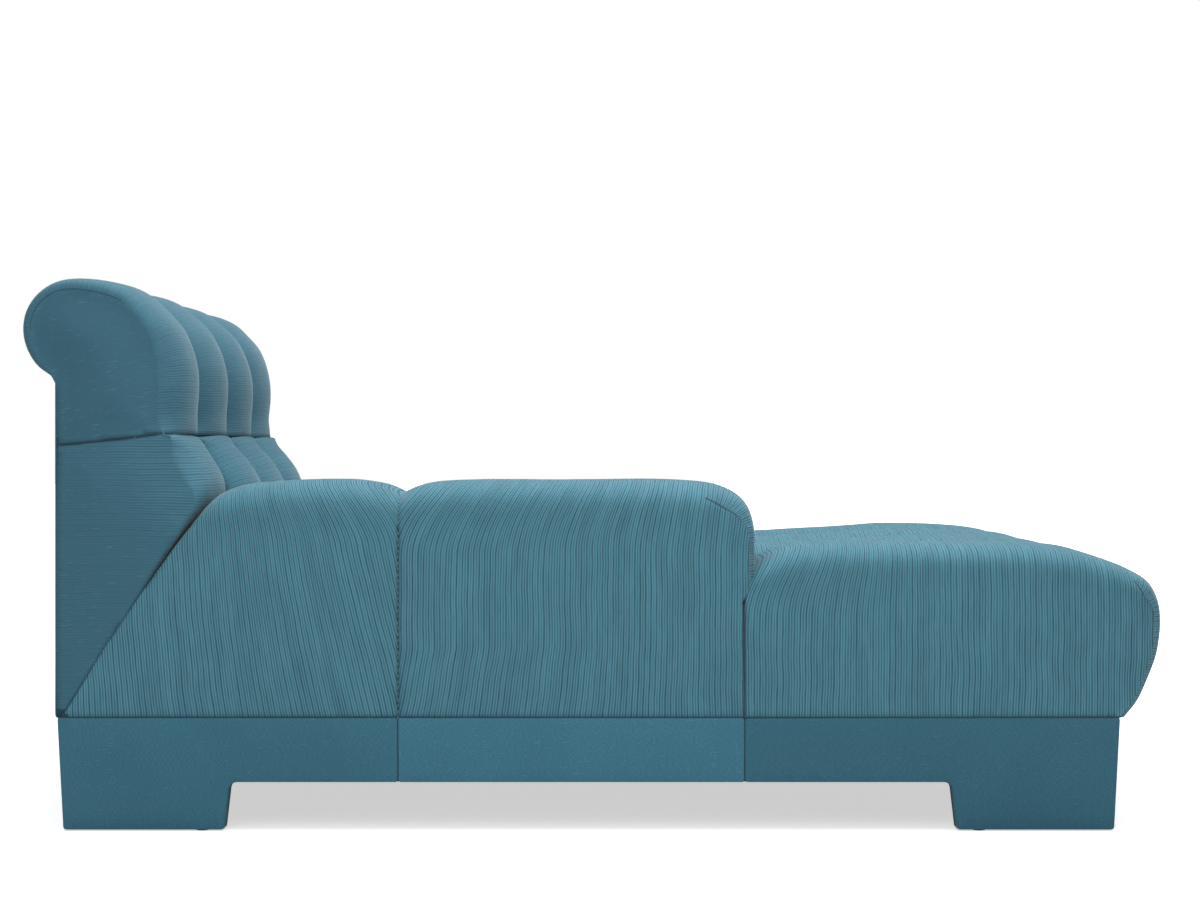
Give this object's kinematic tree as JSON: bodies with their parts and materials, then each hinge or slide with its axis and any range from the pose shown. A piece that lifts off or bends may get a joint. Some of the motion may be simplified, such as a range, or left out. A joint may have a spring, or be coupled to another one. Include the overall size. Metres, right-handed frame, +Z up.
{
  "type": "chaise longue",
  "caption": "Upholstered chaise longue with one side arm, a rolled back and channelled padding on a low fabric-covered plinth with corner feet.",
  "frame": {"origin": "on the floor, under the middle of the whole piece's length and width", "axes": "+X along the length towards the foot end, +Y across the width towards the side with no arm, +Z up"},
  "size_m": [1.6638, 0.9503, 0.8025],
  "materials": {
    "ribbed_fabric": "matte",
    "plain_fabric": "matte",
    "foam": "matte",
    "timber": "matte",
    "plywood": "matte",
    "spring_steel": "satin",
    "webbing": "matte",
    "dust_cloth": "matte",
    "glide_plastic": "matte"
  },
  "bodies": {
    "root": {"arm_cover_front": "ribbed_fabric", "arm_cover_rear": "ribbed_fabric", "arm_foam_front": "foam", "arm_foam_rear": "foam", "arm_front_board": "plywood", "arm_inner_panel": "plywood", "arm_outer_panel": "plywood", "arm_top_board": "plywood", "back_board": "plywood", "back_bolts": "spring_steel", "back_lower_cover_1": "ribbed_fabric", "back_lower_cover_2": "ribbed_fabric", "back_lower_cover_3": "ribbed_fabric", "back_lower_cover_4": "ribbed_fabric", "back_lower_foam_1": "foam", "back_lower_foam_2": "foam", "back_lower_foam_3": "foam", "back_lower_foam_4": "foam", "back_lower_rail": "timber", "back_outside_cover": "plain_fabric", "back_post_arm_side": "timber", "back_post_open_side": "timber", "back_top_rail": "timber", "back_upper_cover_1": "ribbed_fabric", "back_upper_cover_2": "ribbed_fabric", "back_upper_cover_3": "ribbed_fabric", "back_upper_cover_4": "ribbed_fabric", "back_upper_foam_1": "foam", "back_upper_foam_2": "foam", "back_upper_foam_3": "foam", "back_upper_foam_4": "foam", "back_webbing": "webbing", "dust_cloth": "dust_cloth", "foot_glides": "glide_plastic", "plinth_cleats": "timber", "plinth_corner_blocks": "timber", "plinth_cover_arm_side": "plain_fabric", "plinth_cover_back_end": "plain_fabric", "plinth_cover_foot_end": "plain_fabric", "plinth_cover_open_side": "plain_fabric", "plinth_panel_arm_side": "plywood", "plinth_panel_back_end": "plywood", "plinth_panel_foot_end": "plywood", "plinth_panel_open_side": "plywood", "seat_cover_channel_1": "ribbed_fabric", "seat_cover_channel_2": "ribbed_fabric", "seat_cover_channel_3": "ribbed_fabric", "seat_cover_channel_4": "ribbed_fabric", "seat_cross_braces": "timber", "seat_foam_base": "foam", "seat_foam_channel_1": "foam", "seat_foam_channel_2": "foam", "seat_foam_channel_3": "foam", "seat_foam_channel_4": "foam", "seat_rail_arm_side": "timber", "seat_rail_back_end": "timber", "seat_rail_foot_end": "timber", "seat_rail_open_side": "timber", "seat_springs": "spring_steel", "spring_clips": "spring_steel"}
  },
  "joints": []
}
